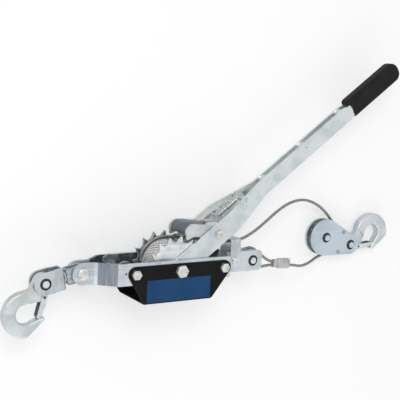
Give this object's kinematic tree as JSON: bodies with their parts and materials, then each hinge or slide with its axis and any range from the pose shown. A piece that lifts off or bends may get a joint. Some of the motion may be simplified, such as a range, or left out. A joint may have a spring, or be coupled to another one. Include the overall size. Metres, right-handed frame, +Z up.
{
  "type": "come along winch",
  "caption": "Hand ratchet cable puller: bent side plates, lever with grip, rope drum, guard cover, pulley block and two latched hooks.",
  "frame": {"origin": "centre of the axle bolt's free end, in the plane that the winch lies on", "axes": "+X along the pull towards the pulley block, +Y towards the lever, +Z up along the axle"},
  "size_m": [0.7119, 0.4003, 0.0981],
  "materials": {
    "zinc": "zinc plated, cool grey white",
    "pin_steel": "bright plated heads, warm white",
    "hook_zinc": "forged and zinc plated",
    "latch_zinc": "grey green passivated sheet",
    "spring_steel": "drawn wire",
    "wire_rope": "galvanised wire rope, oiled",
    "ferrule_metal": "pressed sleeve",
    "black_sheet": "matte black powder coat",
    "navy_panel": "plain navy panel",
    "grip_rubber": "matte black, fine texture"
  },
  "bodies": {
    "frame": {"near_side_plate": "zinc", "far_side_plate": "zinc", "cable_guide": "zinc", "guide_screws": "zinc", "guard_cover": "black_sheet", "label_panel": "navy_panel", "axle_bolt": "pin_steel", "axle_nut": "zinc", "corner_bolts": "pin_steel", "corner_nuts": "zinc", "corner_spacer": "zinc", "left_ear_pin": "pin_steel", "anchor_pin": "pin_steel", "anchor_spool": "zinc", "free_rope": "wire_rope", "rope_ferrule": "ferrule_metal", "holding_spring": "spring_steel"},
    "drum": {"near_ratchet_wheel": "zinc", "far_ratchet_wheel": "zinc", "drum_tube": "zinc", "rope_core": "wire_rope", "rope_winding": "wire_rope"},
    "lever": {"near_lever_bar": "zinc", "far_lever_bar": "zinc", "lever_rivets": "zinc", "lever_spacers": "zinc", "lever_grip": "grip_rubber", "pawl_bolt": "pin_steel", "pawl_nut": "zinc", "pawl_sleeve": "zinc", "spring_pin": "zinc", "drive_spring": "spring_steel"},
    "drive_pawl": {"drive_pawl": "zinc"},
    "holding_pawl": {"holding_pawl": "zinc"},
    "swivel_link": {"swivel_link": "zinc", "swivel_washer": "zinc"},
    "hook_yoke": {"hook_yoke": "zinc", "swivel_rivet": "zinc", "yoke_pin": "pin_steel"},
    "left_hook": {"left_hook": "hook_zinc", "left_latch_pin": "zinc"},
    "left_latch": {"left_latch": "latch_zinc"},
    "block": {"near_block_plate": "zinc", "far_block_plate": "zinc", "block_rivets": "zinc", "block_spacers": "zinc", "sheave_pin": "pin_steel", "block_hook_pin": "pin_steel"},
    "sheave": {"sheave": "zinc"},
    "right_hook": {"right_hook": "hook_zinc", "right_latch_pin": "zinc"},
    "right_latch": {"right_latch": "latch_zinc"}
  },
  "joints": [
    {"name": "lever_swing", "type": "hinge", "parent": "frame", "child": "lever", "pos_m": [0, 0, 0.05], "axis": [0, 0, 1], "range_deg": [-5, 70]},
    {"name": "drum_spin", "type": "hinge", "parent": "frame", "child": "drum", "pos_m": [0, 0, 0.05], "axis": [0, 0, 1], "continuous": true},
    {"name": "drive_pawl_lift", "type": "hinge", "parent": "lever", "child": "drive_pawl", "pos_m": [0.0673, 0.04943, 0.05], "axis": [0, 0, 1], "range_deg": [-30, 0], "stiffness_Nm_per_rad": 0.25, "springref_deg": 20.05, "deforming": ["drive_spring"]},
    {"name": "holding_pawl_lift", "type": "hinge", "parent": "frame", "child": "holding_pawl", "pos_m": [-0.074, 0, 0.05], "axis": [0, 0, 1], "range_deg": [-25, 0], "stiffness_Nm_per_rad": 0.15, "springref_deg": 20.05, "deforming": ["holding_spring"]},
    {"name": "link_swing", "type": "hinge", "parent": "frame", "child": "swivel_link", "pos_m": [-0.144, 0.0005, 0.05], "axis": [0, 0, 1], "range_deg": [-35, 35]},
    {"name": "hook_swivel", "type": "hinge", "parent": "swivel_link", "child": "hook_yoke", "pos_m": [-0.144, 0.0005, 0.05], "axis": [-0.9842, -0.1771, 0], "continuous": true},
    {"name": "left_hook_swing", "type": "hinge", "parent": "hook_yoke", "child": "left_hook", "pos_m": [-0.20039, -0.00965, 0.05], "axis": [0, 0, 1], "range_deg": [-70, 30]},
    {"name": "left_latch_open", "type": "hinge", "parent": "left_hook", "child": "left_latch", "pos_m": [-0.19921, -0.03019, 0.05], "axis": [0, 0, 1], "range_deg": [-36, 0], "stiffness_Nm_per_rad": 0.02, "springref_deg": 28.65},
    {"name": "block_swing", "type": "hinge", "parent": "frame", "child": "block", "pos_m": [0.3182, 0.018, 0.012], "axis": [0, 0, 1], "range_deg": [-25, 25]},
    {"name": "sheave_spin", "type": "hinge", "parent": "block", "child": "sheave", "pos_m": [0.3182, 0.018, 0.012], "axis": [0, 0, 1], "continuous": true},
    {"name": "right_hook_swing", "type": "hinge", "parent": "block", "child": "right_hook", "pos_m": [0.371, 0.0027, 0.012], "axis": [0, 0, 1], "range_deg": [-25, 25]},
    {"name": "right_latch_open", "type": "hinge", "parent": "right_hook", "child": "right_latch", "pos_m": [0.39103, -0.00204, 0.012], "axis": [0, 0, 1], "range_deg": [0, 36], "stiffness_Nm_per_rad": 0.02, "springref_deg": -28.65}
  ],
  "couplings": [
    {"joint": "drum_spin", "follows": "lever_swing", "ratio": 1}
  ]
}
